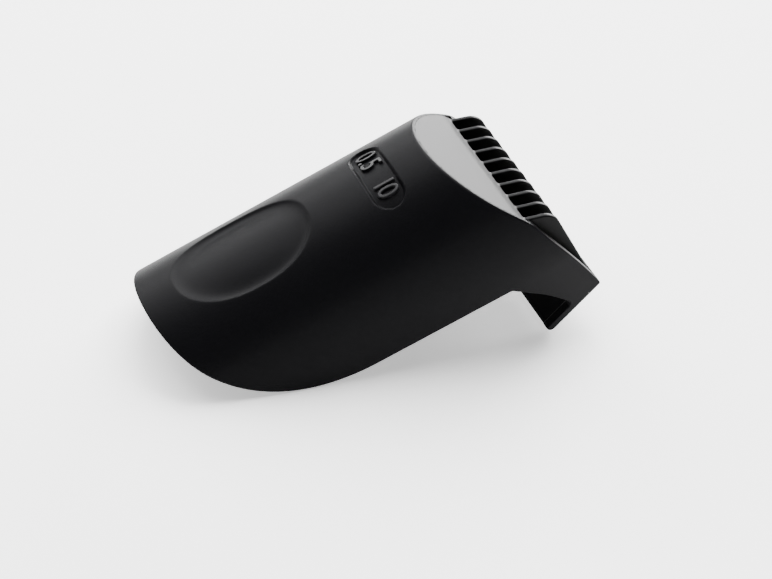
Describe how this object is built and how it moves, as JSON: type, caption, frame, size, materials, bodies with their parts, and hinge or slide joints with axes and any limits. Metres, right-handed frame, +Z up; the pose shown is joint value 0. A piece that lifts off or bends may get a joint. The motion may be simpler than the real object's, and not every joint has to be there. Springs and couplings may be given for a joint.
{
  "type": "clipper guide comb",
  "caption": "Clip-on guide comb for a hair clipper: arched open hood with a thumb recess, slanted toothed front face, front lip, guide rails and sprung catch arms.",
  "frame": {"origin": "middle of the footprint's box, on the table that the comb rests on (its lip and the rear of its skirt touch the table)", "axes": "+Z up, +Y forward towards the teeth, +X to the right seen from behind"},
  "size_m": [0.0358, 0.0798, 0.0337],
  "materials": {
    "shell_black": "satin moulded plastic with a very fine spark-eroded grain",
    "insert_black": "smoother satin moulded plastic",
    "numeral_black": "raised satin plastic",
    "rail_black": "satin moulded plastic, unpainted",
    "arm_black": "satin springy plastic (acetal)"
  },
  "bodies": {
    "comb": {"hood_shell": "shell_black", "comb_insert": "insert_black", "length_numerals": "numeral_black", "guide_rail_left": "rail_black", "guide_rail_right": "rail_black"},
    "catch_arm_left": {"snap_arm_left": "arm_black"},
    "catch_arm_right": {"snap_arm_right": "arm_black"}
  },
  "joints": [
    {"name": "catch_flex_left", "type": "hinge", "parent": "comb", "child": "catch_arm_left", "pos_m": [-0.01335, 0.01095, 0.01549], "axis": [0, 0.4195, -0.9078], "range_deg": [0, 4], "stiffness_Nm_per_rad": 0.15},
    {"name": "catch_flex_right", "type": "hinge", "parent": "comb", "child": "catch_arm_right", "pos_m": [0.01335, 0.01095, 0.01549], "axis": [0, -0.4195, 0.9078], "range_deg": [0, 4], "stiffness_Nm_per_rad": 0.15}
  ]
}
